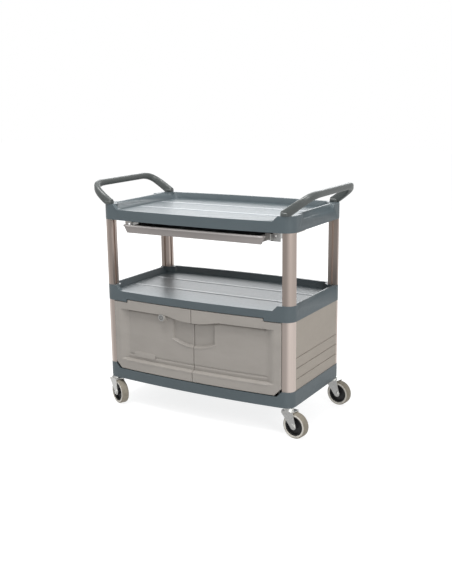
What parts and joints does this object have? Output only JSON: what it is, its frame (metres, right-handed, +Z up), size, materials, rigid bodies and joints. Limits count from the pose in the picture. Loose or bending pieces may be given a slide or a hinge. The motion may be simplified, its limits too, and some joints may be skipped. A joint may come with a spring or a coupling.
{
  "type": "housekeeping cart",
  "caption": "Three-shelf utility cart with moulded trays on aluminium posts, a lockable two-door cabinet, a sliding drawer, push handles and swivel casters.",
  "frame": {"origin": "on the floor under the centre of the cart's bounding box", "axes": "+X along the cart from handle to handle, the doors and drawer face -Y, +Z up"},
  "size_m": [1.0318, 0.5238, 0.9601],
  "materials": {
    "shelf_plastic": "slate blue-grey moulded foam plastic, fine texture, satin",
    "handle_plastic": "grey moulded plastic, fine texture, satin",
    "post_aluminium": "warm satin anodised extrusion with lengthwise grain",
    "door_plastic": "warm grey moulded plastic, fine texture",
    "panel_plastic": "warm grey moulded plastic, fine texture",
    "drawer_plastic": "warm grey moulded plastic, satin",
    "zinc_steel": "bright zinc plate",
    "dark_rail_steel": "dark painted rail",
    "lock_chrome": "polished chrome",
    "wheel_core_plastic": "black moulded plastic",
    "tread_rubber": "warm grey non-marking rubber"
  },
  "bodies": {
    "cart": {"top_shelf": "shelf_plastic", "middle_shelf": "shelf_plastic", "bottom_shelf": "shelf_plastic", "upper_post_front_left": "post_aluminium", "upper_post_front_right": "post_aluminium", "upper_post_back_left": "post_aluminium", "upper_post_back_right": "post_aluminium", "lower_post_front_left": "post_aluminium", "lower_post_front_right": "post_aluminium", "lower_post_back_left": "post_aluminium", "lower_post_back_right": "post_aluminium", "handle_left": "handle_plastic", "handle_right": "handle_plastic", "hinge_pins": "zinc_steel", "side_panel_left": "panel_plastic", "side_panel_right": "panel_plastic", "back_panel": "panel_plastic", "slide_hanger_left": "zinc_steel", "slide_hanger_right": "zinc_steel", "slide_outer_left": "dark_rail_steel", "slide_outer_right": "dark_rail_steel", "hanger_screws": "zinc_steel", "caster_stem_front_left": "zinc_steel", "caster_stem_front_right": "zinc_steel", "caster_stem_back_left": "zinc_steel", "caster_stem_back_right": "zinc_steel"},
    "door_left": {"door_left": "door_plastic", "lock_body": "lock_chrome", "lock_nut": "zinc_steel", "blank_plate": "door_plastic"},
    "door_right": {"door_right": "door_plastic"},
    "lock": {"lock_plug": "lock_chrome", "lock_cam": "zinc_steel"},
    "drawer": {"drawer": "drawer_plastic", "drawer_bracket_left": "zinc_steel", "drawer_bracket_right": "zinc_steel", "slide_inner_left": "zinc_steel", "slide_inner_right": "zinc_steel"},
    "middle_slides": {"slide_middle_left": "zinc_steel", "slide_middle_right": "zinc_steel"},
    "swivel_front_left": {"caster_fork_front_left": "zinc_steel", "caster_axle_front_left": "zinc_steel"},
    "wheel_front_left": {"wheel_core_front_left": "wheel_core_plastic", "wheel_tread_front_left": "tread_rubber"},
    "swivel_front_right": {"caster_fork_front_right": "zinc_steel", "caster_axle_front_right": "zinc_steel"},
    "wheel_front_right": {"wheel_core_front_right": "wheel_core_plastic", "wheel_tread_front_right": "tread_rubber"},
    "swivel_back_left": {"caster_fork_back_left": "zinc_steel", "caster_axle_back_left": "zinc_steel"},
    "wheel_back_left": {"wheel_core_back_left": "wheel_core_plastic", "wheel_tread_back_left": "tread_rubber"},
    "swivel_back_right": {"caster_fork_back_right": "zinc_steel", "caster_axle_back_right": "zinc_steel"},
    "wheel_back_right": {"wheel_core_back_right": "wheel_core_plastic", "wheel_tread_back_right": "tread_rubber"}
  },
  "joints": [
    {"name": "door_left_hinge", "type": "hinge", "parent": "cart", "child": "door_left", "pos_m": [-0.389, -0.23144, 0.31], "axis": [0, 0, -1], "range_deg": [0, 100]},
    {"name": "door_right_hinge", "type": "hinge", "parent": "cart", "child": "door_right", "pos_m": [0.389, -0.23144, 0.31], "axis": [0, 0, 1], "range_deg": [0, 100]},
    {"name": "lock_turn", "type": "hinge", "parent": "door_left", "child": "lock", "pos_m": [-0.144, -0.23, 0.418], "axis": [0, 1, 0], "range_deg": [0, 90]},
    {"name": "drawer_slide", "type": "slide", "parent": "cart", "child": "drawer", "axis": [0, -1, 0], "range_m": [0, 0.225]},
    {"name": "middle_slides_slide", "type": "slide", "parent": "cart", "child": "middle_slides", "axis": [0, -1, 0], "range_m": [0, 0.1125]},
    {"name": "swivel_front_left_turn", "type": "hinge", "parent": "cart", "child": "swivel_front_left", "pos_m": [-0.42, -0.212, 0.1], "axis": [0, 0, 1], "continuous": true},
    {"name": "wheel_front_left_spin", "type": "hinge", "parent": "swivel_front_left", "child": "wheel_front_left", "pos_m": [-0.38944, -0.2269, 0.0508], "axis": [0.4384, 0.8988, 0], "continuous": true},
    {"name": "swivel_front_right_turn", "type": "hinge", "parent": "cart", "child": "swivel_front_right", "pos_m": [0.42, -0.212, 0.1], "axis": [0, 0, 1], "continuous": true},
    {"name": "wheel_front_right_spin", "type": "hinge", "parent": "swivel_front_right", "child": "wheel_front_right", "pos_m": [0.45367, -0.21673, 0.0508], "axis": [0.1392, 0.9903, 0], "continuous": true},
    {"name": "swivel_back_left_turn", "type": "hinge", "parent": "cart", "child": "swivel_back_left", "pos_m": [-0.42, 0.212, 0.1], "axis": [0, 0, 1], "continuous": true},
    {"name": "wheel_back_left_spin", "type": "hinge", "parent": "swivel_back_left", "child": "wheel_back_left", "pos_m": [-0.38944, 0.2269, 0.0508], "axis": [-0.4384, 0.8988, 0], "continuous": true},
    {"name": "swivel_back_right_turn", "type": "hinge", "parent": "cart", "child": "swivel_back_right", "pos_m": [0.42, 0.212, 0.1], "axis": [0, 0, 1], "continuous": true},
    {"name": "wheel_back_right_spin", "type": "hinge", "parent": "swivel_back_right", "child": "wheel_back_right", "pos_m": [0.45367, 0.20727, 0.0508], "axis": [0.1392, 0.9903, 0], "continuous": true}
  ],
  "couplings": [
    {"joint": "middle_slides_slide", "follows": "drawer_slide", "ratio": 0.5}
  ]
}
